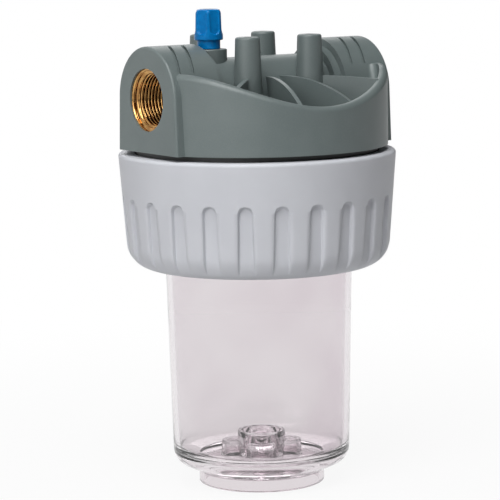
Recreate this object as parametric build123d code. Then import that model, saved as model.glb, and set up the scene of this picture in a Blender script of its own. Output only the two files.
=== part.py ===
from build123d import *
import os
from math import atan2, cos, degrees, pi, radians, sin, sqrt, tan

# Water filter housing in millimetres: clear bowl, lock ring and moulded head with two threaded ports.
# +Z is up, the origin is the centre of the foot's standing face, the ports lie along X
# and the front of the housing faces -Y. Left is -X.

# Edge roundings shared by the mouldings
EDGE_FINE = 0.3
EDGE_SOFT = 0.6
EDGE_BOLD = 1.2

# Bowl: foot and floor
FOOT_R = 30.7
FOOT_H = 6.0
FOOT_WALL = 2.8
HOLLOW_UNDER_Z = 8.8
FLOOR_T = 2.8
RECESS_R = 30.4
RECESS_DEPTH = 2.3
SHELF_RISE = 2.6
BASE_SLOPE_DEG = 26.0
BASE_CORNER = 7.5
INNER_CORNER = 5.0
SHELF_CORNER = 2.0

# Bowl: wall, shoulder and flange
WALL_R_LOW = 43.0
WALL_R_HIGH = 45.35
WALL_T = 2.8
SHOULDER_Z = 112.2
SHOULDER_T = 3.6
UPPER_WALL = 3.6
UPPER_H = 29.6
FLANGE_GAP = 0.5
FLANGE_LIP = 1.8
FLANGE_T = 7.8
SHOULDER_CORNER = 3.0

# Bowl: cartridge locator on the floor
LOCATOR_R = 12.25
LOCATOR_HOLE_R = 8.8
LOCATOR_TOP_Z = 24.8
LOBE_COUNT = 4
LOBE_R = 7.5
LOBE_REACH = 20.0
LOBE_TOP_Z = 20.2
LOBE_WALL = 2.4
LOCATOR_TURN_DEG = 56.0

# Bowl seal: face seal in the top of the flange
SEAL_CORD = 3.0
SEAL_INSET = 2.7
SEAL_GROOVE_W = 3.4
SEAL_GROOVE_DEPTH = 2.5
SEAL_SEAT_GAP = 0.05
SEAL_FACE_GAP = 0.25

# Lock ring
RING_WALL = 4.0
RING_FLARE = 4.2
RING_H = 55.7
RING_CORNER = 12.5
RING_TOP_ROUND = 1.6
LIP_T = 5.4
LIP_WALL_GAP = 0.85
LIP_CORNER = 4.0
LIP_GAP = 0.2
FLUTE_COUNT = 24
FLUTE_W_TOP = 6.6
FLUTE_W_FOOT = 7.8
FLUTE_DEPTH = 1.9
FLUTE_FADE_DROP = 1.8
FLUTE_TOP_DOWN = 20.4
FLUTE_PHASE_DEG = 6.0

# Thread between ring and head, drawn as plain cylinders
NECK_R = 58.6
NECK_WALL = 6.0
THREAD_GAP = 0.3

# Head: base plate and tray wall
HEAD_GAP = 2.5
SKIRT_OVERHANG = 4.7
SKIRT_WALL = 4.0
SKIRT_ROUND = 2.8
PLATE_T = 5.2
CREST_LOW_UP = 22.0
CREST_HIGH_UP = 38.0
CREST_END_DEG = 70.0
CREST_STEP_DEG = 25
WALL_INTO_BOSS = 1.4
TRAY_CORNER = 3.0

# Head: port bosses and cross pipe
PORT_UP = 24.9
FACE_INSET = 1.3
BOSS_LEN = 26.0
BOSS_R = 25.1
BOSS_EDGE = 1.2
DRAFT_DEG = 2.5
COLLAR_STEP = 3.3
COLLAR_LEN = 4.0
PIPE_R = 18.0
BORE_R = 11.0
PASSAGE_R = 8.5
PASSAGE_FROM_SEAT = 1.5
BORE_PAST_PASSAGE = 3.5

# Head: bracket posts
POST_SPAN_X = 35.5
POST_SPAN_Y = 39.6
POST_UP = 53.3
POST_R = 5.8
POST_TAPER_DEG = 2.2
SCREW_HOLE_R = 2.0
SCREW_HOLE_DEPTH = 22.0

# Head: radial ribs in the tray
RIB_T = 2.0
RIB_TOP_UP = 33.8
RIB_BELOW_CREST = 0.5
RIB_MID_R = 42.0
RIB_MID_SHARE = 0.73

# Head: flow chevrons cut in the bosses
CHEVRON_W = 1.6
CHEVRON_DEPTH = 1.4
CHEVRON_PITCH = 7.5
CHEVRON_SHIFT = 2.7
CHEVRON_DEG = 17.5
CHEVRON_FROM_Y = 3.0
CHEVRON_TO_Y = 21.3

# Head: cartridge seat inside the neck
SEAT_R = 24.0
SEAT_WALL = 3.6
SEAT_DOWN = 17.6
SPIGOT_R = 13.2
SPIGOT_WALL = 3.6
SPIGOT_DOWN = 24.8

# Brass inserts, G 3/4 thread drawn at its minor diameter
INSERT_R = 17.2
INSERT_LEN = 18.0
INSERT_RECESS = 1.0
INSERT_GROOVE_W = 4.0
INSERT_GROOVE_DEPTH = 1.2
PORT_MOUTH_R = 14.8
LEAD_R = 14.5
LEAD_LEN = 3.2
THREAD_MINOR_R = 12.06

# Vent pad and vent screw
VENT_FROM_BORE_END = 1.7
PAD_R = 8.6
PAD_UP = 47.4
VENT_BORE_R = 3.0
VENT_STEM_GAP = 0.08
VENT_STEM_LEN = 10.7
VENT_POCKET_R = 4.9
VENT_POCKET_DEPTH = 2.2
VENT_CORD = 1.8
VENT_SEAL_GAP = 0.05
VENT_SEAT_GAP = 0.1
VENT_NECK_R = 5.5
VENT_NECK_H = 4.2
KNOB_H = 14.6
KNOB_R_LOW = 6.9
KNOB_R_TOP = 6.45
KNOB_TOP_ROUND = 2.2
KNOB_PANELS = 6
KNOB_PANEL_W = 4.9
KNOB_PANEL_DEPTH = 1.1
KNOB_PANEL_UP = 2.9
KNOB_PANEL_ROUND = 2.0
KNOB_PHASE_DEG = 26.2

# Radii and places that follow from the thread, the bowl's wall and the seat
THREAD_BORE_R = NECK_R + THREAD_GAP
RING_R_BASE = THREAD_BORE_R + RING_WALL
RING_R_TOP = RING_R_BASE + RING_FLARE
LIP_R = WALL_R_HIGH + LIP_WALL_GAP
FLANGE_R = THREAD_BORE_R - FLANGE_GAP
UPPER_R = FLANGE_R - FLANGE_LIP
SEAL_R = FLANGE_R - SEAL_INSET
SKIRT_R = NECK_R + SKIRT_OVERHANG
CREST_R = SKIRT_R - SKIRT_ROUND
FACE_X = SKIRT_R - FACE_INSET
BOSS_INNER_X = FACE_X - BOSS_LEN
INSERT_FACE_X = FACE_X - INSERT_RECESS
INSERT_END_X = INSERT_FACE_X - INSERT_LEN
WALL_END_Y = sqrt(BOSS_R ** 2 - (CREST_HIGH_UP - PORT_UP) ** 2) - WALL_INTO_BOSS
COLLAR_R = BOSS_R - COLLAR_STEP
PASSAGE_X = SEAT_R + PASSAGE_FROM_SEAT + PASSAGE_R
INLET_BORE_END_X = PASSAGE_X - PASSAGE_R - BORE_PAST_PASSAGE
VENT_X = -(INLET_BORE_END_X + VENT_BORE_R + VENT_FROM_BORE_END)

# Heights that follow from the stack of pieces
BOWL_TOP_Z = SHOULDER_Z + UPPER_H
RING_BASE_Z = SHOULDER_Z - LIP_GAP - LIP_T
RING_TOP_Z = RING_BASE_Z + RING_H
HEAD_Z = RING_TOP_Z + HEAD_GAP
SEAL_Z = BOWL_TOP_Z - SEAL_GROOVE_DEPTH + SEAL_SEAT_GAP + SEAL_CORD / 2
NECK_BASE_Z = SEAL_Z + SEAL_CORD / 2 + SEAL_FACE_GAP
PLATE_TOP_Z = HEAD_Z + PLATE_T
PORT_Z = HEAD_Z + PORT_UP
PAD_TOP_Z = HEAD_Z + PAD_UP
CUT_PAST = 1.0


def turned(corners, sweep_deg=360.0):
    """Solid of revolution about Z from (radius, height, corner rounding) points."""
    outline = FilletPolyline(*[(r, z) for r, z, _ in corners], radius=[c[2] for c in corners], close=True)
    return revolve(Plane.XZ * make_face(outline), Axis.Z, sweep_deg)


def o_ring(radius, cord, height):
    """Round cord bent into a ring about Z."""
    section = Plane.XZ * Pos(radius, height) * Circle(cord / 2)
    return revolve(section, Axis.Z)


def along_x(radius, x_from, x_to, height):
    """Cylinder lying along X at a height."""
    section = Plane.YZ.offset(x_from) * Pos(0, height) * Circle(radius)
    return extrude(section, x_to - x_from)


# Bowl

def wall_radius(z):
    """Outer radius of the drafted bowl wall at a height."""
    corner_z = FOOT_H + (WALL_R_LOW - FOOT_R) * tan(radians(BASE_SLOPE_DEG))
    return WALL_R_LOW + (WALL_R_HIGH - WALL_R_LOW) * (z - corner_z) / (SHOULDER_Z - corner_z)


def bowl_shell():
    """Foot, floor, drafted wall, shoulder and grooved flange in one turned section."""
    floor_z = HOLLOW_UNDER_Z + FLOOR_T
    rim_z = floor_z + RECESS_DEPTH
    shelf_z = rim_z + SHELF_RISE
    corner_z = FOOT_H + (WALL_R_LOW - FOOT_R) * tan(radians(BASE_SLOPE_DEG))
    inner_shoulder_z = SHOULDER_Z + SHOULDER_T
    inner_low_r = wall_radius(shelf_z) - WALL_T
    inner_high_r = wall_radius(inner_shoulder_z) - WALL_T
    upper_in_r = UPPER_R - UPPER_WALL
    flange_under_z = BOWL_TOP_Z - FLANGE_T
    groove_z = BOWL_TOP_Z - SEAL_GROOVE_DEPTH
    groove_in_r = SEAL_R - SEAL_GROOVE_W / 2
    groove_out_r = SEAL_R + SEAL_GROOVE_W / 2
    return turned([
        (0, HOLLOW_UNDER_Z, 0),
        (FOOT_R - FOOT_WALL, HOLLOW_UNDER_Z, EDGE_BOLD),
        (FOOT_R - FOOT_WALL, 0, EDGE_SOFT),
        (FOOT_R, 0, EDGE_SOFT),
        (FOOT_R, FOOT_H, EDGE_SOFT),
        (WALL_R_LOW, corner_z, BASE_CORNER),
        (WALL_R_HIGH, SHOULDER_Z, EDGE_SOFT),
        (UPPER_R, SHOULDER_Z, SHOULDER_CORNER),
        (UPPER_R, flange_under_z, EDGE_SOFT),
        (FLANGE_R, flange_under_z, EDGE_FINE),
        (FLANGE_R, BOWL_TOP_Z, EDGE_FINE),
        (groove_out_r, BOWL_TOP_Z, 0),
        (groove_out_r, groove_z, EDGE_FINE),
        (groove_in_r, groove_z, EDGE_FINE),
        (groove_in_r, BOWL_TOP_Z, 0),
        (upper_in_r, BOWL_TOP_Z, EDGE_FINE),
        (upper_in_r, inner_shoulder_z, SHELF_CORNER),
        (inner_high_r, inner_shoulder_z, SHOULDER_CORNER),
        (inner_low_r, shelf_z, INNER_CORNER),
        (RECESS_R, rim_z, EDGE_SOFT),
        (RECESS_R, floor_z, EDGE_SOFT),
        (0, floor_z, 0),
    ])


def lobes(radius, base_z, top_z):
    """Round lobes of the locator, from one height to another."""
    ring = PolarLocations(LOBE_REACH - LOBE_R, LOBE_COUNT, start_angle=LOCATOR_TURN_DEG)
    return Part() + [extrude(Plane.XY.offset(base_z) * spot * Circle(radius), top_z - base_z) for spot in ring]


def bowl():
    """Clear bowl with the lobed cartridge locator, whose lobes are hollow from below."""
    floor_z = HOLLOW_UNDER_Z + FLOOR_T
    shell = bowl_shell()
    raised = lobes(LOBE_R, floor_z - CUT_PAST, LOBE_TOP_Z)
    top_edges = raised.edges().group_by(Axis.Z)[-1]
    raised = fillet(top_edges, EDGE_SOFT)
    tube = Pos(0, 0, floor_z - CUT_PAST) * Cylinder(
        LOCATOR_R, LOCATOR_TOP_Z - floor_z + CUT_PAST, align=(Align.CENTER, Align.CENTER, Align.MIN))
    tube = fillet(tube.edges().group_by(Axis.Z)[-1], EDGE_SOFT)
    hole = Pos(0, 0, floor_z) * Cylinder(
        LOCATOR_HOLE_R, LOCATOR_TOP_Z, align=(Align.CENTER, Align.CENTER, Align.MIN))
    pockets = lobes(LOBE_R - LOBE_WALL, HOLLOW_UNDER_Z - CUT_PAST, LOBE_TOP_Z - LOBE_WALL)
    core = Cylinder(LOCATOR_HOLE_R + LOBE_WALL, 2 * LOCATOR_TOP_Z)
    return shell + raised + tube - hole - (pockets - core)


# Lock ring

def ring_corner():
    """Rounding of the ring's bottom corner, no wider than the flat under the ring."""
    return min(RING_CORNER, RING_R_BASE - FLUTE_DEPTH - LIP_R - EDGE_SOFT)


def ring_blank():
    """Lock ring before its flutes: tapered outside, thread bore, lip at the foot."""
    lip_z = RING_BASE_Z + LIP_T
    return turned([
        (LIP_R, RING_BASE_Z, EDGE_SOFT),
        (RING_R_BASE, RING_BASE_Z, ring_corner()),
        (RING_R_TOP, RING_TOP_Z, RING_TOP_ROUND),
        (THREAD_BORE_R, RING_TOP_Z, EDGE_SOFT),
        (THREAD_BORE_R, lip_z, LIP_CORNER),
        (LIP_R, lip_z, EDGE_SOFT),
    ])


def flute_floor():
    """Solid whose outside is the ring's outside set in by the flute depth.

    Its foot sits lower than the ring's, so the flutes run out on the ring's bottom curve."""
    foot_z = RING_BASE_Z - FLUTE_FADE_DROP
    return turned([
        (0, foot_z, 0), (RING_R_BASE - FLUTE_DEPTH, foot_z, ring_corner()),
        (RING_R_TOP - FLUTE_DEPTH, RING_TOP_Z, 0), (0, RING_TOP_Z, 0),
    ])


def flute_cutters():
    """Round-topped slots round the ring, wider at the foot, whose floor follows the ring's outside."""
    flute_top_z = RING_TOP_Z - FLUTE_TOP_DOWN
    half = FLUTE_W_TOP / 2
    foot_half = FLUTE_W_FOOT / 2
    arch_z = flute_top_z - half
    sides = Polyline((-half, arch_z), (-foot_half, RING_BASE_Z), (foot_half, RING_BASE_Z), (half, arch_z))
    arch = ThreePointArc((half, arch_z), (0, flute_top_z), (-half, arch_z))
    face = Plane.YZ.offset(RING_R_BASE - ring_corner()) * make_face(sides + arch)
    slot = extrude(face, RING_CORNER + RING_R_TOP) - flute_floor()
    step = 360 / FLUTE_COUNT
    return [Rot(0, 0, FLUTE_PHASE_DEG + step * k) * slot for k in range(FLUTE_COUNT)]


def lock_ring():
    """Fluted lock ring."""
    return ring_blank() - flute_cutters()


# Head

def arch_bar(radius, half_len, edge=0.0):
    """Bar along X, centred on the origin's X, with a round top and drafted sides down to the head's rim."""
    base_half = radius + PORT_UP * tan(radians(DRAFT_DEG))
    sides = Polyline((radius, PORT_Z), (base_half, HEAD_Z), (-base_half, HEAD_Z), (-radius, PORT_Z))
    arch = ThreePointArc((-radius, PORT_Z), (0, PORT_Z + radius), (radius, PORT_Z))
    bar = extrude(Plane.YZ * make_face(sides + arch), half_len, both=True)
    if edge:
        ends = bar.faces().sort_by(Axis.X)
        rims = ends[0].edges() + ends[-1].edges()
        bar = fillet([e for e in rims if e.center().Z > HEAD_Z + edge], edge)
    return bar


def boss_pair():
    """Two port bosses with their inner collars, left and right."""
    gap = Box(2 * BOSS_INNER_X, 4 * BOSS_R, 4 * BOSS_R)
    bosses = arch_bar(BOSS_R, FACE_X, BOSS_EDGE) - Pos(0, 0, PORT_Z) * gap
    return bosses + arch_bar(COLLAR_R, BOSS_INNER_X) - Pos(0, 0, PORT_Z) * Box(
        2 * (BOSS_INNER_X - COLLAR_LEN), 4 * BOSS_R, 4 * BOSS_R)


def crest_up(angle_deg):
    """Height of the tray wall over the head's rim, at an angle from the middle of the front or back.

    A half cosine wave from its lowest point in the middle to its highest at the bosses."""
    share = min(abs(angle_deg) / CREST_END_DEG, 1.0)
    return CREST_LOW_UP + (CREST_HIGH_UP - CREST_LOW_UP) * (1 - cos(pi * share)) / 2


def swoop():
    """Everything above the crest curve, from side to side, cut straight through from front to back."""
    bearings = range(0, int(CREST_END_DEG) + CREST_STEP_DEG, CREST_STEP_DEG)
    right = [(CREST_R * sin(radians(a)), HEAD_Z + crest_up(a)) for a in bearings]
    left = [(-x, z) for x, z in reversed(right[1:])]
    curve = Spline(*left, *right, tangents=[(1, 0), (1, 0)])
    far_x = SKIRT_R + BOSS_R
    end_z = right[-1][1]
    lid_z = HEAD_Z + 2 * CREST_HIGH_UP
    lid = Polyline(right[-1], (far_x, end_z), (far_x, lid_z), (-far_x, lid_z), (-far_x, end_z), left[0])
    return extrude(Plane.XZ * make_face(curve + lid), 2 * SKIRT_R, both=True)


def tray_wall():
    """Round wall in two halves, low in front and behind, high at the bosses, rounded along its crest."""
    ring = Circle(SKIRT_R) - Circle(SKIRT_R - SKIRT_WALL)
    wall = extrude(Plane.XY.offset(HEAD_Z) * ring, CREST_HIGH_UP + CUT_PAST) - swoop()
    crest = wall.edges().filter_by(GeomType.LINE, reverse=True)
    crest = [e for e in crest if e.center(CenterOf.MASS).Z > HEAD_Z + CREST_LOW_UP / 2]
    crest = [e for e in crest if Vector(e.position_at(0).X, e.position_at(0).Y).length > CREST_R]
    wall = fillet(crest, SKIRT_ROUND)
    return wall - Pos(0, 0, HEAD_Z) * Box(3 * SKIRT_R, 2 * WALL_END_Y, 4 * CREST_HIGH_UP)


def tray_corners(body):
    """Upright inner corners between the tray wall and the bosses."""
    low_z = HEAD_Z + CREST_LOW_UP / 2
    far_x = BOSS_INNER_X + TRAY_CORNER
    upright = [e for e in body.edges() if e.bounding_box().size.Z > CREST_LOW_UP / 2]
    corners = []
    for e in upright:
        mid = e.position_at(0.5)
        inside = Vector(mid.X, mid.Y).length < SKIRT_R - SKIRT_WALL / 2
        if far_x < abs(mid.X) and abs(mid.Y) > WALL_END_Y and inside and mid.Z < low_z + CREST_LOW_UP:
            corners.append(e)
    return corners


def head_base():
    """Turned lower part: base plate, threaded neck, cartridge seat and spigot."""
    neck_in_r = NECK_R - NECK_WALL
    seat_z = HEAD_Z - SEAT_DOWN
    spigot_z = HEAD_Z - SPIGOT_DOWN
    plate = turned([
        (0, HEAD_Z, 0), (neck_in_r, HEAD_Z, EDGE_BOLD), (neck_in_r, NECK_BASE_Z, EDGE_SOFT),
        (NECK_R, NECK_BASE_Z, EDGE_SOFT), (NECK_R, HEAD_Z, 0), (SKIRT_R, HEAD_Z, EDGE_SOFT),
        (SKIRT_R, PLATE_TOP_Z, 0), (0, PLATE_TOP_Z, 0),
    ])
    seat = turned([
        (SEAT_R - SEAT_WALL, HEAD_Z + CUT_PAST, 0), (SEAT_R - SEAT_WALL, seat_z, EDGE_SOFT),
        (SEAT_R, seat_z, EDGE_SOFT), (SEAT_R, HEAD_Z + CUT_PAST, 0),
    ])
    spigot = turned([
        (0, HEAD_Z + CUT_PAST, 0), (0, spigot_z, 0), (SPIGOT_R, spigot_z, EDGE_BOLD),
        (SPIGOT_R, HEAD_Z + CUT_PAST, 0),
    ])
    keep = Pos(0, 0, HEAD_Z) * Box(2 * FACE_X - 2 * BOSS_EDGE, 3 * SKIRT_R, 3 * SKIRT_R)
    return (plate + seat + spigot) & keep


def posts():
    """Four tapered bracket posts."""
    length = HEAD_Z + POST_UP - PLATE_TOP_Z + CUT_PAST
    base_r = POST_R + length * tan(radians(POST_TAPER_DEG))
    post = turned([
        (0, PLATE_TOP_Z - CUT_PAST, 0), (base_r, PLATE_TOP_Z - CUT_PAST, 0),
        (POST_R, HEAD_Z + POST_UP, EDGE_BOLD), (0, HEAD_Z + POST_UP, 0),
    ])
    return [spot * post for spot in GridLocations(POST_SPAN_X, POST_SPAN_Y, 2, 2)]


def rib(bearing_deg):
    """Radial rib from the pipe to the tray wall; the bearing is measured from the front's middle."""
    wall_r = SKIRT_R - SKIRT_WALL + CUT_PAST
    end_z = HEAD_Z + crest_up(bearing_deg) - RIB_BELOW_CREST
    top_z = HEAD_Z + RIB_TOP_UP
    mid_z = end_z + RIB_MID_SHARE * (top_z - end_z)
    foot_z = PLATE_TOP_Z - CUT_PAST
    inner_r = PIPE_R - 2 * RIB_T
    top = ThreePointArc((inner_r, top_z), (RIB_MID_R, mid_z), (wall_r, end_z))
    rest = Polyline((wall_r, end_z), (wall_r, foot_z), (inner_r, foot_z), (inner_r, top_z))
    web = extrude(Plane.XZ * make_face(top + rest), RIB_T / 2, both=True)
    return Rot(0, 0, bearing_deg - 90) * web


def ribs():
    """Four ribs in front and four behind: the outer ones run through the posts, the others share the rest."""
    post_bearing = degrees(atan2(POST_SPAN_X, POST_SPAN_Y))
    bearings = [post_bearing * k / 3 for k in (-3, -1, 1, 3)]
    front = [rib(b) for b in bearings]
    return front + [Rot(0, 0, 180) * r for r in front]


def insert_body():
    """Outside of a brass insert, mouth up, turned about Z with its mouth at height 0."""
    groove_r = INSERT_R - INSERT_GROOVE_DEPTH
    groove_top = -(INSERT_LEN - INSERT_GROOVE_W) / 2
    groove_end = groove_top - INSERT_GROOVE_W
    return turned([
        (0, 0, 0), (INSERT_R, 0, 0), (INSERT_R, groove_top, 0), (groove_r, groove_top, 0),
        (groove_r, groove_end, 0), (INSERT_R, groove_end, 0), (INSERT_R, -INSERT_LEN, 0), (0, -INSERT_LEN, 0),
    ])


def to_port(solid, side):
    """Lay a piece that was turned about Z into the port on side -1 or +1, mouth outward."""
    return Pos(side * INSERT_FACE_X, 0, PORT_Z) * Rot(0, side * 90, 0) * solid


def water_ways():
    """Everything bored out of the head: ports, inlet and outlet passages, vent and screw holes."""
    cuts = []
    for side in (-1, 1):
        cuts.append(to_port(insert_body(), side))
        mouth = extrude(Plane.XY * Circle(PORT_MOUTH_R), INSERT_RECESS + CUT_PAST)
        cuts.append(to_port(mouth, side))
    cuts.append(along_x(BORE_R, -INSERT_END_X - CUT_PAST, -INLET_BORE_END_X, PORT_Z))
    cuts.append(along_x(BORE_R, 0, INSERT_END_X + CUT_PAST, PORT_Z))
    drop = PORT_Z - HEAD_Z + CUT_PAST
    cuts.append(Pos(-PASSAGE_X, 0, HEAD_Z - CUT_PAST) * Cylinder(
        PASSAGE_R, drop, align=(Align.CENTER, Align.CENTER, Align.MIN)))
    outlet_z = HEAD_Z - SPIGOT_DOWN - CUT_PAST
    cuts.append(Pos(0, 0, outlet_z) * Cylinder(
        SPIGOT_R - SPIGOT_WALL, PORT_Z - outlet_z, align=(Align.CENTER, Align.CENTER, Align.MIN)))
    cuts.append(Pos(VENT_X, 0, PORT_Z) * Cylinder(
        VENT_BORE_R, PAD_TOP_Z - PORT_Z + CUT_PAST, align=(Align.CENTER, Align.CENTER, Align.MIN)))
    cuts.append(Pos(VENT_X, 0, PAD_TOP_Z - VENT_POCKET_DEPTH) * Cylinder(
        VENT_POCKET_R, VENT_POCKET_DEPTH + CUT_PAST, align=(Align.CENTER, Align.CENTER, Align.MIN)))
    for spot in GridLocations(POST_SPAN_X, POST_SPAN_Y, 2, 2):
        cuts.append(spot * Pos(0, 0, HEAD_Z + POST_UP - SCREW_HOLE_DEPTH) * Cylinder(
            SCREW_HOLE_R, SCREW_HOLE_DEPTH + CUT_PAST, align=(Align.CENTER, Align.CENTER, Align.MIN)))
    return cuts


def chevrons():
    """Slanted grooves over the top of both bosses, in pairs that point along the flow."""
    leg_y = CHEVRON_TO_Y - CHEVRON_FROM_Y
    leg_len = leg_y / cos(radians(CHEVRON_DEG))
    mid_y = (CHEVRON_TO_Y + CHEVRON_FROM_Y) / 2
    lean = mid_y * tan(radians(CHEVRON_DEG))
    core = along_x(BOSS_R - CHEVRON_DEPTH, -FACE_X, FACE_X, PORT_Z)
    boss_mid_x = FACE_X - BOSS_LEN / 2
    cuts = []
    for side in (-1, 1):
        for place in (-0.5, 0.5):
            apex_x = side * boss_mid_x + CHEVRON_SHIFT + place * CHEVRON_PITCH
            for flank in (-1, 1):
                leg = Pos(apex_x - lean, flank * mid_y, PORT_Z) * Rot(0, 0, flank * CHEVRON_DEG) * Box(
                    CHEVRON_W, leg_len, 2 * BOSS_R)
                upper = Pos(0, 0, PORT_Z + 2 * BOSS_R) * Box(4 * FACE_X, 4 * BOSS_R, 4 * BOSS_R)
                cuts.append((leg - core) & upper)
    return cuts


def head():
    """The moulded head: bosses, pipe, tray wall, ribs, posts, vent pad, neck and seat in one piece."""
    pad = Pos(VENT_X, 0, PORT_Z) * Cylinder(
        PAD_R, PAD_UP - PORT_UP, align=(Align.CENTER, Align.CENTER, Align.MIN))
    pad = fillet(pad.edges().group_by(Axis.Z)[-1], EDGE_SOFT)
    shell = tray_wall() + boss_pair()
    shell = fillet(tray_corners(shell), TRAY_CORNER)
    body = head_base() + shell + arch_bar(PIPE_R, BOSS_INNER_X) + pad
    body = body + posts() + ribs()
    return body - water_ways() - chevrons()


def port_insert(side):
    """Brass insert with its lead-in and plain bore."""
    bore = turned([
        (0, CUT_PAST, 0), (LEAD_R, CUT_PAST, 0), (LEAD_R, 0, 0), (THREAD_MINOR_R, -LEAD_LEN, 0),
        (THREAD_MINOR_R, -INSERT_LEN - CUT_PAST, 0), (0, -INSERT_LEN - CUT_PAST, 0),
    ])
    return to_port(insert_body() - bore, side)


# Vent

def knob_panel(knob_z):
    """Cutter for one flat panel of the knob, round at its foot, leaning with the knob's taper."""
    base_z = knob_z + KNOB_PANEL_UP
    taper = (KNOB_R_LOW - KNOB_R_TOP) / KNOB_H
    half = KNOB_PANEL_W / 2
    outline = RectangleRounded(KNOB_PANEL_W, 2 * KNOB_H, KNOB_PANEL_ROUND)
    block = extrude(Plane.YZ * Pos(0, KNOB_H) * outline, half)
    lean = Rot(0, -degrees(atan2(taper, 1)), 0)
    return Pos(KNOB_R_LOW - KNOB_PANEL_DEPTH, 0, base_z) * lean * block


def vent_screw():
    """Knob with six flat panels, neck and plain stem of the vent screw."""
    knob_z = PAD_TOP_Z + VENT_NECK_H
    top_z = knob_z + KNOB_H
    seat_z = PAD_TOP_Z + VENT_SEAT_GAP
    stem_r = VENT_BORE_R - VENT_STEM_GAP
    stem_z = PAD_TOP_Z - VENT_STEM_LEN
    body = turned([
        (0, stem_z, 0), (stem_r, stem_z, EDGE_SOFT), (stem_r, seat_z, 0), (VENT_NECK_R, seat_z, EDGE_FINE),
        (VENT_NECK_R, knob_z, 0), (KNOB_R_LOW, knob_z, EDGE_SOFT), (KNOB_R_TOP, top_z, KNOB_TOP_ROUND),
        (0, top_z, 0),
    ])
    step = 360 / KNOB_PANELS
    panels = [Rot(0, 0, KNOB_PHASE_DEG + step * k) * knob_panel(knob_z) for k in range(KNOB_PANELS)]
    return Pos(VENT_X, 0, 0) * (body - panels)


def vent_o_ring():
    """Seal round the vent stem in the pocket of the pad."""
    radius = VENT_BORE_R - VENT_STEM_GAP + VENT_SEAL_GAP + VENT_CORD / 2
    height = PAD_TOP_Z - VENT_POCKET_DEPTH + VENT_SEAT_GAP + VENT_CORD / 2
    return Pos(VENT_X, 0, 0) * o_ring(radius, VENT_CORD, height)


def main():
    pieces = {
        "head": head(),
        "inlet_insert": port_insert(-1),
        "outlet_insert": port_insert(1),
        "lock_ring": lock_ring(),
        "bowl": bowl(),
        "bowl_o_ring": o_ring(SEAL_R, SEAL_CORD, SEAL_Z),
        "vent_screw": vent_screw(),
        "vent_o_ring": vent_o_ring(),
    }
    os.makedirs("parts", exist_ok=True)
    for name, solid in pieces.items():
        export_step(solid, f"parts/{name}.step")


main()
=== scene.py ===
from math import cos, pi, radians, sin, tan

import bpy
import numpy as np
from mathutils import Matrix, Vector


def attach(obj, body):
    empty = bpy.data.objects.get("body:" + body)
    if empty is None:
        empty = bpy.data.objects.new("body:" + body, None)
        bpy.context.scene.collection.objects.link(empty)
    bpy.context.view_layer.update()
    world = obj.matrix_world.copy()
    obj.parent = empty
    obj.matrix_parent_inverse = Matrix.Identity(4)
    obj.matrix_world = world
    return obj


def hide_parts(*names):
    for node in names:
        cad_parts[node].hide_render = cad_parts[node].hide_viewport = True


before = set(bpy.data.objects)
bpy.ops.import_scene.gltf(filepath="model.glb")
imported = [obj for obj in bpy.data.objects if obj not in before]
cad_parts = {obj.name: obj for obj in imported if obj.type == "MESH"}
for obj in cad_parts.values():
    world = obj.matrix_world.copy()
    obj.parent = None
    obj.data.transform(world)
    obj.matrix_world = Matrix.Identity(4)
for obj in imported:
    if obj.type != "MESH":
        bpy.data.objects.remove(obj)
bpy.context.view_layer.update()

# Water filter housing: dark grey head, light grey lock ring, clear bowl, brass port linings, blue vent screw.
# The object's and the camera's sizes are in millimetres in the frame's axes, and a mesh is scaled to metres
# when it is made. The floor's and the lamps' sizes further down are in metres.
MM = 0.001

# Edge roundings shared by the mouldings
SOFT, FINE, CRISP = 0.6, 0.3, 0.2

# Bowl, from the foot up
FOOT_R, FOOT_H, FOOT_WALL = 30.7, 6.0, 2.8
UNDER_Z, FLOOR_Z = 8.8, 11.6
RECESS_R, RIM_Z, SHELF_Z = 30.4, 13.9, 16.5
BASE_SLOPE = radians(26.0)
WALL_R_LOW, WALL_R_HIGH, WALL_T = 43.0, 45.35, 2.8
SHOULDER_Z, SHOULDER_T = 112.2, 3.6
UPPER_R, UPPER_IN_R = 56.6, 53.0
FLANGE_R, FLANGE_Z, BOWL_TOP_Z = 58.4, 134.0, 141.8
GROOVE_R, GROOVE_W, GROOVE_Z = 55.7, 3.4, 139.3
BASE_CORNER, INNER_CORNER, SHOULDER_CORNER = 7.5, 5.0, 3.0
FOOT_IN_CORNER, UPPER_IN_CORNER = 1.2, 2.0

# How far in from its corner the bowl's outline starts under the foot and ends on the floor
CAP_REACH = 3.0

# Cartridge locator on the bowl's floor
LOCATOR_R, LOCATOR_HOLE_R, LOCATOR_TOP_Z = 12.25, 8.8, 24.8
LOBE_COUNT, LOBE_R, LOBE_CENTRE_R, LOBE_TOP_Z, LOBE_WALL = 4, 7.5, 12.5, 20.2, 2.4
LOCATOR_TURN, LOCATOR_EDGE = radians(56.0), 0.4

# Bowl's mesh: its columns, and its rows under and on the floor as (radius from, radius to, how many)
BOWL_COLUMNS = 384
UNDER_ROWS = ((0.5, 10.4, 4), (10.8, 18.6, 27), (19.5, 24.0, 4))
FLOOR_ROWS = ((26.0, 21.0, 5), (20.7, 8.22, 49), (7.5, 0.5, 4))

# Bowl's tint: it is deeper up to a height, where the plastic is thick. Towards one side, the right side in
# the camera's view, it deepens as painted shade, for the side that the lamps light less
THICK_END_Z = 24.75
SHADE_SIDE, SHADE_REACH = (0.83, -0.556, 0.0), 45.0

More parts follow.
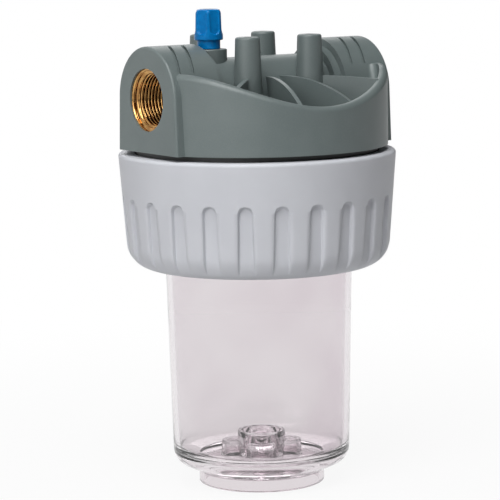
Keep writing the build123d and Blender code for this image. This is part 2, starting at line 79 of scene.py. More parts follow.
# Lock ring
RING_BASE_Z, RING_TOP_Z = 106.6, 162.3
RING_R_BASE, RING_R_TOP, RING_CORNER, RING_TOP_ROUND = 62.9, 67.1, 12.5, 1.6
RING_BORE_R, LIP_R, LIP_Z, LIP_CORNER = 58.9, 46.2, 112.0, 4.0
FLUTE_COUNT, FLUTE_HALF_TOP, FLUTE_HALF_FOOT = 24, 3.3, 3.9
FLUTE_DEPTH, FLUTE_DROP, FLUTE_TOP_Z = 1.9, 1.8, 141.9
FLUTE_PHASE, FLUTE_EDGE = radians(6.0), 0.34
RIM_END_Z = 159.0

# Lock ring's mesh: columns at a flute's edges, between them and on a land, and rows down the outside
EDGE_PLACES = (-1.0, -0.55, -0.2, 0.2, 0.55, 1.0)
INNER_SPAN, INNER_COLUMNS, LAND_COLUMNS = 0.78, 8, 4
PLAIN_ROWS, ARCH_ROWS, SIDE_ROWS, CORNER_ROWS = 6, 18, 9, 24

# Ports
PORT_Z, INSERT_FACE_X = 189.7, 61.0
INSERT_R, INSERT_LEN, KEY_GROOVE_R, KEY_GROOVE_LEN = 17.2, 18.0, 16.0, 4.0
LEAD_R, LEAD_LEN = 14.5, 3.2
THREAD_MINOR_R, THREAD_MAJOR_R, THREAD_PITCH, THREAD_STEEPNESS = 12.06, 13.22, 1.814, 1.35
PORT_COLUMNS, BORE_ROWS = 180, 150

# Vent screw
VENT_X, STEM_R, STEM_Z, SEAT_Z = -26.7, 2.92, 201.5, 212.3
COLLAR_R, KNOB_Z, KNOB_TOP_Z = 5.5, 216.4, 231.0
KNOB_R_LOW, KNOB_R_TOP, KNOB_TOP_ROUND = 6.9, 6.45, 2.2
PANEL_COUNT, PANEL_HALF, PANEL_ROUND, PANEL_DEPTH, PANEL_Z = 6, 2.45, 2.0, 1.1, 219.3
PANEL_PHASE, PANEL_EDGE = radians(26.2), 0.16
KNOB_COLUMNS = 180

# Seals
BOWL_SEAL_R, BOWL_SEAL_Z, BOWL_SEAL_CORD = 55.7, 140.85, 3.0
VENT_SEAL_R, VENT_SEAL_Z, VENT_SEAL_CORD = 3.87, 211.0, 1.8
SEAL_COLUMNS, CORD_ROWS = 120, 20

# Head: its underside, and the width of the soft edge of the painted shade on its neck's root
HEAD_Z, ROOT_EDGE = 164.8, 0.6

# The angle from which an edge is shaded sharp: elsewhere, on the head, on the vent screw, on ring and bowl
SHARP, HEAD_SHARP, VENT_SHARP, TURNED_SHARP = radians(50), radians(32), radians(60), radians(80)

# The camera as the photograph was taken: far away, long lens, a little above the middle
CAMERA_AT = (-660.3, -985.6, 278.95)
CAMERA_AIM = (-3.456, 2.315, 113.45)
CAMERA_ROLL = radians(-0.89)
CAMERA_LENS = 177.43


# Shapes

def rounded_path(corners, arc_step=9.0, longest=6.0):
    """Points (r, z) along straight runs joined by tangent arcs.

    A corner with rounding c loses c / tan(half its angle) of each run, and its arc has radius c."""
    corners = [(np.array(c[:2], float), c[2]) for c in corners]
    points = [corners[0][0]]
    for (before, _), (here, rounding), (after, _) in zip(corners, corners[1:], corners[2:]):
        into = (here - before) / np.linalg.norm(here - before)
        out = (after - here) / np.linalg.norm(after - here)
        turn = np.arccos(np.clip(into @ out, -1, 1))
        if rounding == 0 or turn < 1e-3:
            points.append(here)
            continue
        cut = rounding * tan(turn / 2)
        side = np.sign(into[0] * out[1] - into[1] * out[0])
        centre = here - into * cut + side * rounding * np.array([-into[1], into[0]])
        spoke = here - into * cut - centre
        angles = side * np.linspace(0, turn, max(3, int(np.degrees(turn) / arc_step) + 2))
        points.extend(np.stack([spoke[0] * np.cos(angles) - spoke[1] * np.sin(angles),
                                spoke[0] * np.sin(angles) + spoke[1] * np.cos(angles)], 1) + centre)
    points.append(corners[-1][0])
    points = np.array(points)
    spaced = [points[:1]]
    for a, b in zip(points, points[1:]):
        steps = max(1, int(np.ceil(np.linalg.norm(b - a) / longest)))
        spaced.append(a + (b - a) * (np.arange(1, steps + 1) / steps)[:, None])
    return np.concatenate(spaced)


def eased(distance, edge):
    """0 outside, 1 inside, with an S-shaped ramp as wide as two edges: 3 t t - 2 t t t."""
    t = np.clip(distance / (2 * edge) + 0.5, 0, 1)
    return t * t * (3 - 2 * t)


def row_places(*stretches):
    """Rows of a mesh, from stretches of (from, to, how many) evenly spaced ones."""
    return np.concatenate([np.linspace(*stretch) for stretch in stretches])


def turned(r, z, columns):
    """Grid of points (rows, columns, 3) for radii and heights given per row, or per row and column."""
    angle = np.linspace(0, 2 * pi, columns, endpoint=False)[None, :]
    r, z = np.broadcast_arrays(*(v[:, None] if v.ndim == 1 else v for v in (r, z)))
    return np.stack([r * np.cos(angle), r * np.sin(angle), z + 0 * angle], 2)


def skin(grid, row_loop=False, caps=(False, False)):
    """Corner points and faces of a grid whose columns join up, with its rows joined up or its ends capped."""
    rows, columns = grid.shape[:2]
    points = grid.reshape(-1, 3)
    i = np.arange(rows if row_loop else rows - 1)[:, None]
    j = np.arange(columns)[None, :]
    below, above, nxt = i * columns, (i + 1) % rows * columns, (j + 1) % columns
    quads = np.stack([below + j, below + nxt, above + nxt, above + j], 2).reshape(-1, 4)
    faces = quads.tolist()
    for at_end, capped in enumerate(caps):
        if capped:
            ring = at_end * (rows - 1) * columns + np.arange(columns)
            pole = len(points)
            points = np.vstack([points, points[ring].mean(0)])
            pair = [np.roll(ring, -1), ring] if at_end == 0 else [ring, np.roll(ring, -1)]
            faces += np.stack([*pair, np.full(columns, pole)], 1).tolist()
    return points, faces


def volume(points, faces):
    """Signed volume that the faces close in: a sixth of the sum of corner . (corner x corner)."""
    tris = [(f[0], f[k], f[k + 1]) for f in faces for k in range(1, len(f) - 1)]
    a, b, c = (points[np.array(tris)[:, k]] for k in range(3))
    return np.einsum("ij,ij->i", a, np.cross(b, c)).sum() / 6


def make(name, body, finish, shell, stands_for=None, sharp=SHARP):
    """Puts a closed shell into a mesh that faces outwards, smooth but for edges sharper than an angle."""
    points, faces = shell
    if volume(points, faces) < 0:
        faces = [f[::-1] for f in faces]
    mesh = bpy.data.meshes.new(name)
    mesh.from_pydata((points * MM).tolist(), [], faces)
    mesh.polygons.foreach_set("use_smooth", np.ones(len(faces), bool))
    mesh.set_sharp_from_angle(angle=sharp)
    mesh.materials.append(finish)
    piece = bpy.data.objects.new(name, mesh)
    bpy.context.scene.collection.objects.link(piece)
    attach(piece, body)
    if stands_for:
        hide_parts(stands_for)
    return piece


# Bowl

def lobe_distance(x, y, radius):
    """How far a point lies inside the nearest of the locator's round lobes, negative outside."""
    turn = np.arctan2(y, x) - LOCATOR_TURN
    step = 2 * pi / LOBE_COUNT
    turn -= np.round(turn / step) * step
    r = np.hypot(x, y)
    return radius - np.hypot(r * np.cos(turn) - LOBE_CENTRE_R, r * np.sin(turn))


def floor_rise(x, y):
    """Height of the cartridge locator over the bowl's floor: the higher of lobes and tube, less the hole."""
    r, edge = np.hypot(x, y), LOCATOR_EDGE
    lobes = (LOBE_TOP_Z - FLOOR_Z) * eased(lobe_distance(x, y, LOBE_R) - edge, edge)
    tube = (LOCATOR_TOP_Z - FLOOR_Z) * eased(LOCATOR_R - r - edge, edge)
    return np.maximum(lobes, tube) * eased(r - LOCATOR_HOLE_R - edge, edge)


def pocket_rise(x, y):
    """Depth of the pockets under the lobes, which end short of the locator's tube."""
    r = np.hypot(x, y)
    inside = np.minimum(lobe_distance(x, y, LOBE_R - LOBE_WALL), r - LOCATOR_HOLE_R - LOBE_WALL)
    return (LOBE_TOP_Z - LOBE_WALL - UNDER_Z) * eased(inside, LOCATOR_EDGE)


def base_corner_z():
    """Height at which the slope up from the foot would meet the wall."""
    return FOOT_H + (WALL_R_LOW - FOOT_R) * tan(BASE_SLOPE)


def wall_radius(z):
    """Outside of the bowl's wall, which widens evenly from its base corner to the shoulder."""
    share = (z - base_corner_z()) / (SHOULDER_Z - base_corner_z())
    return WALL_R_LOW + (WALL_R_HIGH - WALL_R_LOW) * share


def bowl_shell():
    """One closed shell: a profile turned about Z, whose floor rows rise and fall with the locator."""
    inner_shoulder_z = SHOULDER_Z + SHOULDER_T
    groove_in, groove_out = GROOVE_R - GROOVE_W / 2, GROOVE_R + GROOVE_W / 2
    foot_in = FOOT_R - FOOT_WALL
    outline = rounded_path([
        (foot_in - CAP_REACH, UNDER_Z, 0), (foot_in, UNDER_Z, FOOT_IN_CORNER), (foot_in, 0, SOFT),
        (FOOT_R, 0, SOFT), (FOOT_R, FOOT_H, SOFT), (WALL_R_LOW, base_corner_z(), BASE_CORNER),
        (WALL_R_HIGH, SHOULDER_Z, SOFT), (UPPER_R, SHOULDER_Z, SHOULDER_CORNER), (UPPER_R, FLANGE_Z, SOFT),
        (FLANGE_R, FLANGE_Z, FINE), (FLANGE_R, BOWL_TOP_Z, FINE), (groove_out, BOWL_TOP_Z, CRISP),
        (groove_out, GROOVE_Z, FINE), (groove_in, GROOVE_Z, FINE), (groove_in, BOWL_TOP_Z, CRISP),
        (UPPER_IN_R, BOWL_TOP_Z, FINE), (UPPER_IN_R, inner_shoulder_z, UPPER_IN_CORNER),
        (wall_radius(inner_shoulder_z) - WALL_T, inner_shoulder_z, SHOULDER_CORNER),
        (wall_radius(SHELF_Z) - WALL_T, SHELF_Z, INNER_CORNER), (RECESS_R, RIM_Z, SOFT),
        (RECESS_R, FLOOR_Z, SOFT), (RECESS_R - CAP_REACH, FLOOR_Z, 0),
    ], arc_step=7.0, longest=4.0)
    under_r, floor_r = row_places(*UNDER_ROWS), row_places(*FLOOR_ROWS)
    r = np.concatenate([under_r, outline[:, 0], floor_r])
    z = np.concatenate([np.full(len(under_r), UNDER_Z), outline[:, 1], np.full(len(floor_r), FLOOR_Z)])
    grid = turned(r, z, BOWL_COLUMNS)
    under, inside = slice(0, len(under_r)), slice(len(r) - len(floor_r), len(r))
    grid[under, :, 2] += pocket_rise(grid[under, :, 0], grid[under, :, 1])
    grid[inside, :, 2] += floor_rise(grid[inside, :, 0], grid[inside, :, 1])
    return skin(grid, caps=(True, True))


# Lock ring

def ring_outside(z, inset=0.0, drop=0.0):
    """Radius of the ring's outside at a height: a taper that runs into the bottom's round corner.

    With an inset and a drop, the same outline further in and lower, which is the flutes' floor."""
    outline = rounded_path([
        (LIP_R, RING_BASE_Z - drop, 0), (RING_R_BASE - inset, RING_BASE_Z - drop, RING_CORNER),
        (RING_R_TOP - inset, RING_TOP_Z, 0),
    ], arc_step=1.0, longest=100.0)[1:]
    return np.interp(z, outline[:, 1], outline[:, 0])


def flute_columns(half):
    """Columns of one flute for each row, as places from the flute's middle; half is half its width.

    They crowd at the flute's two edges, where the wall is steep."""
    edge = FLUTE_EDGE * np.array(EDGE_PLACES)
    inner = np.linspace(-INNER_SPAN, INNER_SPAN, INNER_COLUMNS)
    half = half[:, None]
    return np.concatenate([-half + edge, half * inner, half + edge], 1)


def ring_shell():
    """The ring's section turned about Z, and its outside set in by each flute's depth.

    The depth is the flute's own, less what the floor's lower and narrower corner takes back near the foot."""
    arch_z = FLUTE_TOP_Z - FLUTE_HALF_TOP
    side_z = row_places((RIM_END_Z - 1, FLUTE_TOP_Z + 2, PLAIN_ROWS),
                        (FLUTE_TOP_Z + 1, arch_z - 0.8, ARCH_ROWS),
                        (arch_z - 2.1, RING_BASE_Z + RING_CORNER + 1, SIDE_ROWS))
    corner = np.linspace(0, pi / 2, CORNER_ROWS)
    corner_z = RING_BASE_Z + RING_CORNER * (1 - np.cos(corner))[::-1]
    out_z = np.concatenate([side_z, corner_z])
    out_r = ring_outside(out_z)
    rim = rounded_path([(RING_BORE_R + 1, RING_TOP_Z, 0), (RING_R_TOP, RING_TOP_Z, RING_TOP_ROUND),
                        (ring_outside(RIM_END_Z), RIM_END_Z, 0)])
    inside = rounded_path([
        (out_r[-1] - 1, RING_BASE_Z, 0), (LIP_R, RING_BASE_Z, SOFT), (LIP_R, LIP_Z, SOFT),
        (RING_BORE_R, LIP_Z, LIP_CORNER), (RING_BORE_R, RING_TOP_Z, SOFT), (RING_BORE_R + 1, RING_TOP_Z, 0),
    ])[:-1]
    r = np.concatenate([rim[:, 0], out_r, inside[:, 0]])
    z = np.concatenate([rim[:, 1], out_z, inside[:, 1]])
    down = np.clip((arch_z - z) / (arch_z - RING_BASE_Z), 0, 1)
    half = FLUTE_HALF_TOP + (FLUTE_HALF_FOOT - FLUTE_HALF_TOP) * down
    flute = np.arcsin(flute_columns(half) / r[:, None])
    period = 2 * pi / FLUTE_COUNT
    share = np.linspace(0, 1, LAND_COLUMNS + 2)[None, 1:-1]
    land = flute[:, -1:] + (period + flute[:, :1] - flute[:, -1:]) * share
    one = np.concatenate([flute, land], 1)
    starts = FLUTE_PHASE + period * np.arange(FLUTE_COUNT)[None, :, None]
    angle = (one[:, None, :] + starts).reshape(len(r), -1)
    across = np.tile(r[:, None] * np.sin(one), (1, FLUTE_COUNT))
    above = np.maximum(z[:, None] - arch_z, 0)
    inward = np.where(above > 0, FLUTE_HALF_TOP - np.hypot(across, above), half[:, None] - np.abs(across))
    is_out = np.zeros(len(r), bool)
    is_out[len(rim):len(rim) + len(out_z)] = True
    depth = ring_outside(z) - ring_outside(z, FLUTE_DEPTH, FLUTE_DROP)
    depth = np.where(is_out & (z < FLUTE_TOP_Z + 1), np.clip(depth, 0, None), 0)
    r = r[:, None] - depth[:, None] * eased(inward, FLUTE_EDGE)
    grid = np.stack([r * np.cos(angle), r * np.sin(angle), z[:, None] + 0 * angle], 2)
    return skin(grid, row_loop=True)


# Port linings

def to_port(points, side):
    """Turns points from about Z, mouth up, into the port on side -1 or +1, mouth outwards."""
    x, y, z = points.T
    return np.stack([side * (INSERT_FACE_X + z), y, PORT_Z - side * x], 1)


def lining_shell(side):
    """Turned lining whose bore carries a right-handed thread, which runs out over the cone at the mouth.

    Its radius swings between minor and major with the distance along the pitch, shifted by the angle."""
    key_top = -(INSERT_LEN - KEY_GROOVE_LEN) / 2
    key_end = key_top - KEY_GROOVE_LEN
    outside = rounded_path([
        (LEAD_R, 0, 0), (INSERT_R, 0, FINE), (INSERT_R, key_top, 0), (KEY_GROOVE_R, key_top, 0),
        (KEY_GROOVE_R, key_end, 0), (INSERT_R, key_end, 0), (INSERT_R, -INSERT_LEN, 0),
        (THREAD_MAJOR_R, -INSERT_LEN, 0),
    ])
    bore_z = np.linspace(-INSERT_LEN, 0, BORE_ROWS)
    r = np.concatenate([outside[:-1, 0], np.zeros(len(bore_z))])
    z = np.concatenate([outside[:-1, 1], bore_z])
    angle = np.linspace(0, 2 * pi, PORT_COLUMNS, endpoint=False)[None, :]
    phase = (bore_z[:, None] / THREAD_PITCH - angle / (2 * pi)) % 1
    flank = eased(np.abs(2 * phase - 1) - 0.5, 0.5 / THREAD_STEEPNESS)
    lead = LEAD_R + (THREAD_MINOR_R - LEAD_R) * np.clip(-bore_z / LEAD_LEN, 0, 1)
    bore = np.minimum(lead[:, None] + (THREAD_MAJOR_R - THREAD_MINOR_R) * flank, LEAD_R)
    grid = turned(r, z, PORT_COLUMNS)
    start = len(outside) - 1
    grid[start:, :, 0], grid[start:, :, 1] = bore * np.cos(angle), bore * np.sin(angle)
    points, faces = skin(grid, row_loop=True)
    return to_port(points, side), faces


# Vent screw and seals

def vent_shell():
    """Turned screw with six panels on its knob.

    Each panel is a plane, so its radius is its distance / cos(angle from its middle)."""
    outline = rounded_path([
        (0, STEM_Z, 0), (STEM_R, STEM_Z, SOFT), (STEM_R, SEAT_Z, 0), (COLLAR_R, SEAT_Z, FINE),
        (COLLAR_R, KNOB_Z, 0), (KNOB_R_LOW, KNOB_Z, SOFT), (KNOB_R_TOP, KNOB_TOP_Z, KNOB_TOP_ROUND),
        (0, KNOB_TOP_Z, 0),
    ], longest=0.4)[1:-1]
    grid = turned(outline[:, 0], outline[:, 1], KNOB_COLUMNS)
    x, y, z = grid[:, :, 0], grid[:, :, 1], grid[:, :, 2]
    step = 2 * pi / PANEL_COUNT
    turn = np.arctan2(y, x) - PANEL_PHASE
    turn -= np.round(turn / step) * step
    r = np.hypot(x, y)
    taper = (KNOB_R_LOW - KNOB_R_TOP) / (KNOB_TOP_Z - KNOB_Z)
    flat = KNOB_R_LOW - PANEL_DEPTH - taper * (z - PANEL_Z)
    rise = np.clip(PANEL_Z + PANEL_ROUND - z, 0, PANEL_ROUND)
    half = PANEL_HALF - PANEL_ROUND + np.sqrt(PANEL_ROUND ** 2 - rise ** 2)
    inside = half - np.abs(r * np.sin(turn))
    cut = np.clip(r - flat / np.cos(turn), 0, None) * eased(inside, PANEL_EDGE) * (z > PANEL_Z)
    scale = np.where(r > 0, (r - cut) / np.maximum(r, 1e-6), 1)
    grid[:, :, 0], grid[:, :, 1] = x * scale, y * scale
    points, faces = skin(grid, caps=(True, True))
    return points + [VENT_X, 0, 0], faces


def seal_shell(radius, height, cord, at_x=0.0):
    """Round cord bent into a ring: a small circle carried round a large one."""
    small = np.linspace(0, 2 * pi, CORD_ROWS, endpoint=False)
    grid = turned(radius + cord / 2 * np.cos(small), height + cord / 2 * np.sin(small), SEAL_COLUMNS)
    points, faces = skin(grid, row_loop=True)
    return points + [at_x, 0, 0], faces


def head_copy(finish):
    """The head's own triangles with their loose corners joined, so that its curved faces shade smoothly.

    Corners that round to the same micrometre are one corner, and a triangle with two alike is dropped."""
    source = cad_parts["head"].data
    points = np.empty(3 * len(source.vertices))
    source.vertices.foreach_get("co", points)
    corners = np.empty(len(source.loops), int)
    source.loops.foreach_get("vertex_index", corners)
    points = points.reshape(-1, 3) / MM
    _, first, joined = np.unique(np.round(points, 3), axis=0, return_index=True, return_inverse=True)
    faces = joined.reshape(-1)[corners].reshape(-1, 3)
    faces = faces[(faces != np.roll(faces, 1, axis=1)).all(1)]
    piece = make("head_moulding", "head", finish, (points[first], faces.tolist()), "head",
                 HEAD_SHARP)
    weights = piece.modifiers.new("even_shading", "WEIGHTED_NORMAL")
    weights.mode = "FACE_AREA_WITH_ANGLE"
    weights.keep_sharp = True


# Finishes

class Value:
    """A number or colour in a node tree. Arithmetic adds the Math nodes that work it out, on either side."""

    def __init__(self, recipe, socket):
        self.recipe, self.socket = recipe, socket

    def worked(self, operation, *parts):
        """What a Math node makes of numbers or values, in their order."""
        return self.recipe.add("ShaderNodeMath", {"operation": operation}, dict(enumerate(parts)))

    def __add__(self, other):
        return self.worked("ADD", self, other)

    def __radd__(self, other):
        return self.worked("ADD", other, self)

    def __sub__(self, other):
        return self.worked("SUBTRACT", self, other)

    def __rsub__(self, other):
        return self.worked("SUBTRACT", other, self)

    def __mul__(self, other):
        return self.worked("MULTIPLY", self, other)

    def __rmul__(self, other):
        return self.worked("MULTIPLY", other, self)

    def __pow__(self, other):
        return self.worked("POWER", self, other)

    def at_least(self, other):
        """The larger of two numbers."""
        return self.worked("MAXIMUM", self, other)

    def between(self, low, high):
        """0 at low, 1 at high, and eased between them."""
        return self.recipe.add("ShaderNodeMapRange", {"interpolation_type": "SMOOTHSTEP"},
                               {"Value": self, "From Min": low, "From Max": high})


class Recipe:
    """The node tree of a material or of the world, empty to begin with."""

    def __init__(self, owner):
        owner.use_nodes = True
        self.tree = owner.node_tree
        self.tree.nodes.clear()

    def add(self, kind, settings, sockets, output=0):
        """Any node: its settings first, then numbers, colours or links for its sockets."""
        node = self.tree.nodes.new(kind)
        for name, value in settings.items():
            setattr(node, name, value)
        for key, value in sockets.items():
            if isinstance(value, Value):
                self.tree.links.new(value.socket, node.inputs[key])
            else:
                node.inputs[key].default_value = value
        return Value(self, node.outputs[output] if node.outputs else None)

    def ray(self, kind):
        """1 for rays of one kind, 0 for the rest."""
        return self.add("ShaderNodeLightPath", {}, {}, kind)


class Finish(Recipe):
    """A material: the constants of its Principled shader by name, and patterns that vary over the surface."""

    def __init__(self, name, colour, roughness, **constants):
        self.material = bpy.data.materials.new(name)
        super().__init__(self.material)
        numbers = {socket.replace("_", " "): value for socket, value in constants.items()}
        self.shader = self.add("ShaderNodeBsdfPrincipled", {},
                               {"Base Color": (*colour, 1), "Roughness": roughness, **numbers})
        self.place = self.add("ShaderNodeTexCoord", {}, {}, "Object")

    def shown(self, varying, surface=None):
        """The finished material, once values have gone to the shader's sockets and it to the output."""
        for socket, value in varying.items():
            self.tree.links.new(value.socket, self.shader.socket.node.inputs[socket])
        self.add("ShaderNodeOutputMaterial", {}, {"Surface": surface or self.shader})
        return self.material

    def height(self):
        """Height above the floor in metres, at rest."""
        return self.add("ShaderNodeSeparateXYZ", {}, {"Vector": self.place}, "Z")

    def noise(self, size_mm, detail=2.0, stretch=None):
        """Soft random pattern about 0.5 with lumps of a given size, and a scale for each axis if asked."""
        place = self.place
        if stretch:
            place = self.add("ShaderNodeMapping", {}, {"Vector": place, "Scale": stretch})
        scale = 1 / (size_mm * MM)
        return self.add("ShaderNodeTexNoise", {}, {"Vector": place, "Scale": scale, "Detail": detail})

    def mix(self, share, first, second):
        """Colour between two, by a share."""
        first, second = ((*c, 1) if isinstance(c, tuple) else c for c in (first, second))
        return self.add("ShaderNodeMix", {"data_type": "RGBA"}, {0: share, 6: first, 7: second}, 2)

    def bump(self, height, depth_mm):
        """Normal of a surface raised by a height pattern, depth in millimetres."""
        return self.add("ShaderNodeBump", {}, {"Distance": depth_mm * MM, "Height": height})


def head_plastic():
    """Dark grey green moulding: fine eroded grain, soft flow clouds and slightly rubbed high spots.

    The neck's root, which shows in the gap above the lock ring, is painted nearly black: painted shade for
    the shadow in that gap."""
    f = Finish("head_plastic", (0.108, 0.135, 0.134), 0.42, Specular_IOR_Level=0.6)
    clouds, grain = f.noise(22, 3), f.noise(0.55)
    colour = f.mix(clouds.between(0.3, 0.7), (0.102, 0.128, 0.127), (0.118, 0.145, 0.143))
    colour = f.mix(grain.between(0.35, 0.75) * 0.2, colour, (0.155, 0.185, 0.182))
    # Painted shade: the neck's root between the lock ring's top and the head's underside is mixed to nearly
    # black, for the shadow in the gap between them
    height = f.height()
    below_head = 1 - height.between((HEAD_Z - ROOT_EDGE) * MM, HEAD_Z * MM)
    above_ring = height.between((RING_TOP_Z - 3 * ROOT_EDGE) * MM, (RING_TOP_Z - ROOT_EDGE) * MM)
    painted_shade = below_head * above_ring
    colour = f.mix(painted_shade, colour, (0.008, 0.009, 0.009))
    return f.shown({"Base Color": colour, "Roughness": 0.38 + clouds * 0.06 + grain * 0.08,
                    "Normal": f.bump(grain, 0.03)})


def ring_plastic():
    """Light blue grey moulding with a satin grain."""
    f = Finish("ring_plastic", (0.53, 0.54, 0.575), 0.45, Specular_IOR_Level=0.35)
    clouds, grain = f.noise(30, 3), f.noise(0.5)
    colour = f.mix(clouds.between(0.3, 0.7), (0.515, 0.524, 0.56), (0.54, 0.55, 0.585))
    return f.shown({"Base Color": colour, "Roughness": 0.4 + clouds * 0.08 + grain * 0.08,
                    "Normal": f.bump(grain, 0.02)})


def bowl_plastic():
    """Clear plastic with the faint waviness of a moulding and a trace of lilac.

    The lilac is deeper at the edges and in the thick foot, and towards one side it deepens as painted shade,
    for the side that the lamps light less."""
    f = Finish("bowl_clear", (0.843, 0.806, 0.826), 0.012, Transmission_Weight=1.0, IOR=1.5)
    waves, clouds = f.noise(16, 1), f.noise(45, 1)
    edge = f.add("ShaderNodeLayerWeight", {}, {"Blend": 0.35}, "Facing")
    # Painted shade: the bowl's colour turns a deeper lilac towards one side, the side that the lamps light
    # less; the clouds are the plastic's own uneven tone
    across = f.add("ShaderNodeVectorMath", {"operation": "DOT_PRODUCT"}, {0: f.place, 1: SHADE_SIDE}, "Value")
    deeper = (across.between(-SHADE_REACH * MM, SHADE_REACH * MM) + clouds.between(0.35, 0.65)) * 0.5
    colour = f.mix(deeper, (0.866, 0.845, 0.854), (0.786, 0.742, 0.766))
    colour = f.mix(1 - f.height().between(FOOT_H * MM, THICK_END_Z * MM), colour, (0.77, 0.715, 0.74))
    colour = f.mix(edge ** 2, colour, (0.66, 0.575, 0.63))
    return f.shown({"Base Color": colour, "Normal": f.bump(waves, 0.05)})


def port_brass():
    """Machined brass: fine turning marks round the bore and slightly uneven tarnish."""
    f = Finish("port_brass", (0.62, 0.38, 0.14), 0.14, Metallic=1.0)
    tarnish, marks = f.noise(4, 3), f.noise(0.25, 1, stretch=(1, 0.02, 0.02))
    colour = f.mix(tarnish.between(0.35, 0.7), (0.62, 0.37, 0.135), (0.36, 0.18, 0.06))
    return f.shown({"Base Color": colour, "Roughness": 0.08 + tarnish * 0.12, "Normal": f.bump(marks, 0.01)})


def vent_plastic():
    """Glossy blue knob with the faint sink and scuffs of a small moulding."""
    f = Finish("vent_plastic", (0.001, 0.165, 0.45), 0.25, Specular_IOR_Level=0.12)
    clouds, scuffs = f.noise(3), f.noise(0.6, 4)
    colour = f.mix(clouds.between(0.3, 0.7), (0.0005, 0.139, 0.388), (0.001, 0.166, 0.447))
    return f.shown({"Base Color": colour, "Roughness": 0.12 + scuffs * 0.12, "Normal": f.bump(clouds, 0.05)})


def seal_rubber():
    """Black rubber with a powdery bloom."""
    f = Finish("seal_rubber", (0.02, 0.02, 0.02), 0.6)
    bloom = f.noise(1.2, 4)
    colour = f.mix(bloom.between(0.4, 0.8), (0.015, 0.015, 0.016), (0.05, 0.05, 0.05))
    return f.shown({"Base Color": colour, "Roughness": 0.5 + bloom * 0.25, "Normal": f.bump(bloom, 0.02)})


# The object

rubber = seal_rubber()
brass = port_brass()
head_copy(head_plastic())
make("lining_left", "head", brass, lining_shell(-1), "inlet_insert")
make("lining_right", "head", brass, lining_shell(1), "outlet_insert")
make("ring_moulding", "lock_ring", ring_plastic(), ring_shell(), "lock_ring", TURNED_SHARP)
make("bowl_moulding", "bowl", bowl_plastic(), bowl_shell(), "bowl", TURNED_SHARP)
make("bowl_seal", "bowl", rubber,
     seal_shell(BOWL_SEAL_R, BOWL_SEAL_Z, BOWL_SEAL_CORD), "bowl_o_ring")
make("vent_knob", "vent_screw", vent_plastic(), vent_shell(), "vent_screw", VENT_SHARP)
make("vent_seal_ring", "vent_seal", rubber,
     seal_shell(VENT_SEAL_R, VENT_SEAL_Z, VENT_SEAL_CORD, VENT_X), "vent_o_ring")


# Floor, light and camera

# Floor, in metres: half its side, and from and to which distance the object's shadow fades out.
# FLOOR_WHITE is the share of plain white that it shows at the object's foot.
FLOOR_HALF, SHADOW_FROM, SHADOW_TO = 6.0, 0.1, 0.5
FLOOR_WHITE = 0.92

# Level of the light from all round, and the point that the lamps are aimed at, in metres
AMBIENT = 0.14
LAMP_AIM = (0, 0, 0.15)

# The surroundings dim towards one side. A direction's share of that side says where they begin to and where
# they end, and the level says how bright they are there.
DIM_SIDE = (0.9, -0.43, 0.0)
GLOSS_DIM_FROM, GLOSS_DIM_TO, GLOSS_DIM_LEVEL = -0.9, 0.5, 0.12
CLEAR_DIM_FROM, CLEAR_DIM_TO, CLEAR_DIM_LEVEL = 0.25, 0.9, 0.62


def floor():
    """Pale floor that shows plain white to the eye, to gloss and through the bowl.

    The share of that white grows with the distance from the foot, so that the object's soft shadow stays."""
    mesh = bpy.data.meshes.new("floor")
    corners = [(-1, -1), (1, -1), (1, 1), (-1, 1)]
    mesh.from_pydata([(x * FLOOR_HALF, y * FLOOR_HALF, 0) for x, y in corners], [], [(0, 1, 2, 3)])
    f = Finish("floor", (0.6, 0.6, 0.6), 0.9)
    away = f.add("ShaderNodeVectorMath", {"operation": "LENGTH"}, {0: f.place}, "Value")
    seen = f.ray("Is Camera Ray").at_least(f.ray("Is Glossy Ray")).at_least(f.ray("Is Transmission Ray"))
    share = seen * (FLOOR_WHITE + away.between(SHADOW_FROM, SHADOW_TO) * (1 - FLOOR_WHITE))
    white = f.add("ShaderNodeEmission", {}, {"Strength": 1.0})
    surface = f.add("ShaderNodeMixShader", {}, {0: share, 1: f.shader, 2: white})
    mesh.materials.append(f.shown({}, surface))
    ground = bpy.data.objects.new("floor", mesh)
    bpy.context.scene.collection.objects.link(ground)


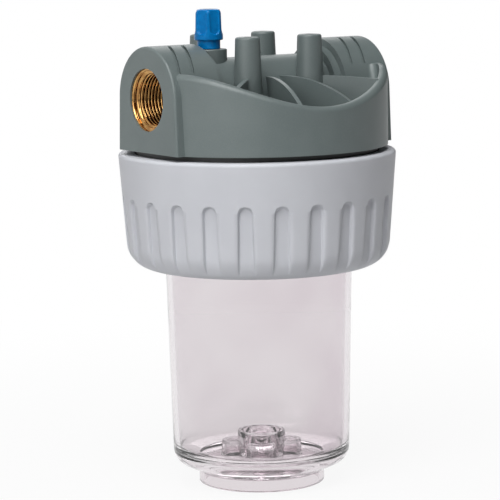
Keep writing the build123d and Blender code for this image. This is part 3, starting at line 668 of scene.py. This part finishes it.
def surroundings():
    """White all round for the eye, gloss and the bowl, and a plain level of light on everything else.

    What gloss and the bowl's bent rays show dims towards one side, as in a studio lit from the other."""
    world = bpy.data.worlds.new("studio")
    bpy.context.scene.world = world
    f = Recipe(world)
    way = f.add("ShaderNodeTexCoord", {}, {}, "Generated")
    dim = f.add("ShaderNodeVectorMath", {"operation": "DOT_PRODUCT"}, {0: way, 1: DIM_SIDE}, "Value")
    gloss_dim = dim.between(GLOSS_DIM_FROM, GLOSS_DIM_TO) * (1 - GLOSS_DIM_LEVEL)
    clear_dim = dim.between(CLEAR_DIM_FROM, CLEAR_DIM_TO) * (1 - CLEAR_DIM_LEVEL)
    gloss = f.ray("Is Glossy Ray") * (1 - gloss_dim)
    clear = f.ray("Is Transmission Ray") * (1 - clear_dim)
    level = f.ray("Is Camera Ray").at_least(clear).at_least(gloss).at_least(AMBIENT)
    back = f.add("ShaderNodeBackground", {}, {"Strength": level})
    f.add("ShaderNodeOutputWorld", {}, {"Surface": back})


def lamp(name, place, size, power):
    """Square soft lamp aimed at the housing's middle, itself out of sight."""
    light = bpy.data.lights.new(name, "AREA")
    light.size, light.energy = size, power
    holder = bpy.data.objects.new(name, light)
    bpy.context.scene.collection.objects.link(holder)
    holder.location = place
    aim = Vector(LAMP_AIM) - Vector(place)
    holder.rotation_euler = aim.to_track_quat("-Z", "Y").to_euler()
    holder.visible_camera = False


def camera():
    """Camera at the photograph's place, turned to its aim and rolled a little."""
    lens = bpy.data.cameras.new("camera")
    lens.lens = CAMERA_LENS
    lens.clip_start, lens.clip_end = 0.05, 50
    holder = bpy.data.objects.new("camera", lens)
    bpy.context.scene.collection.objects.link(holder)
    place, aim = Vector(CAMERA_AT) * MM, Vector(CAMERA_AIM) * MM
    ahead = (aim - place).normalized()
    level = ahead.cross(Vector((0, 0, 1))).normalized()
    upright = level.cross(ahead)
    right = cos(CAMERA_ROLL) * level + sin(CAMERA_ROLL) * upright
    up = cos(CAMERA_ROLL) * upright - sin(CAMERA_ROLL) * level
    turn = Matrix((right, up, -ahead)).transposed()
    holder.matrix_world = Matrix.Translation(place) @ turn.to_4x4()
    bpy.context.scene.camera = holder


floor()
surroundings()
lamp("key", place=(-1.6, -0.68, 0.9), size=1.2, power=14)
lamp("front", place=(-1.0, -0.95, 1.6), size=1.0, power=12)
lamp("top", place=(-0.35, -0.45, 1.65), size=0.8, power=17)
lamp("back", place=(0.6, 1.2, 0.9), size=0.8, power=4)
camera()
bpy.context.scene.view_settings.view_transform = "Standard"
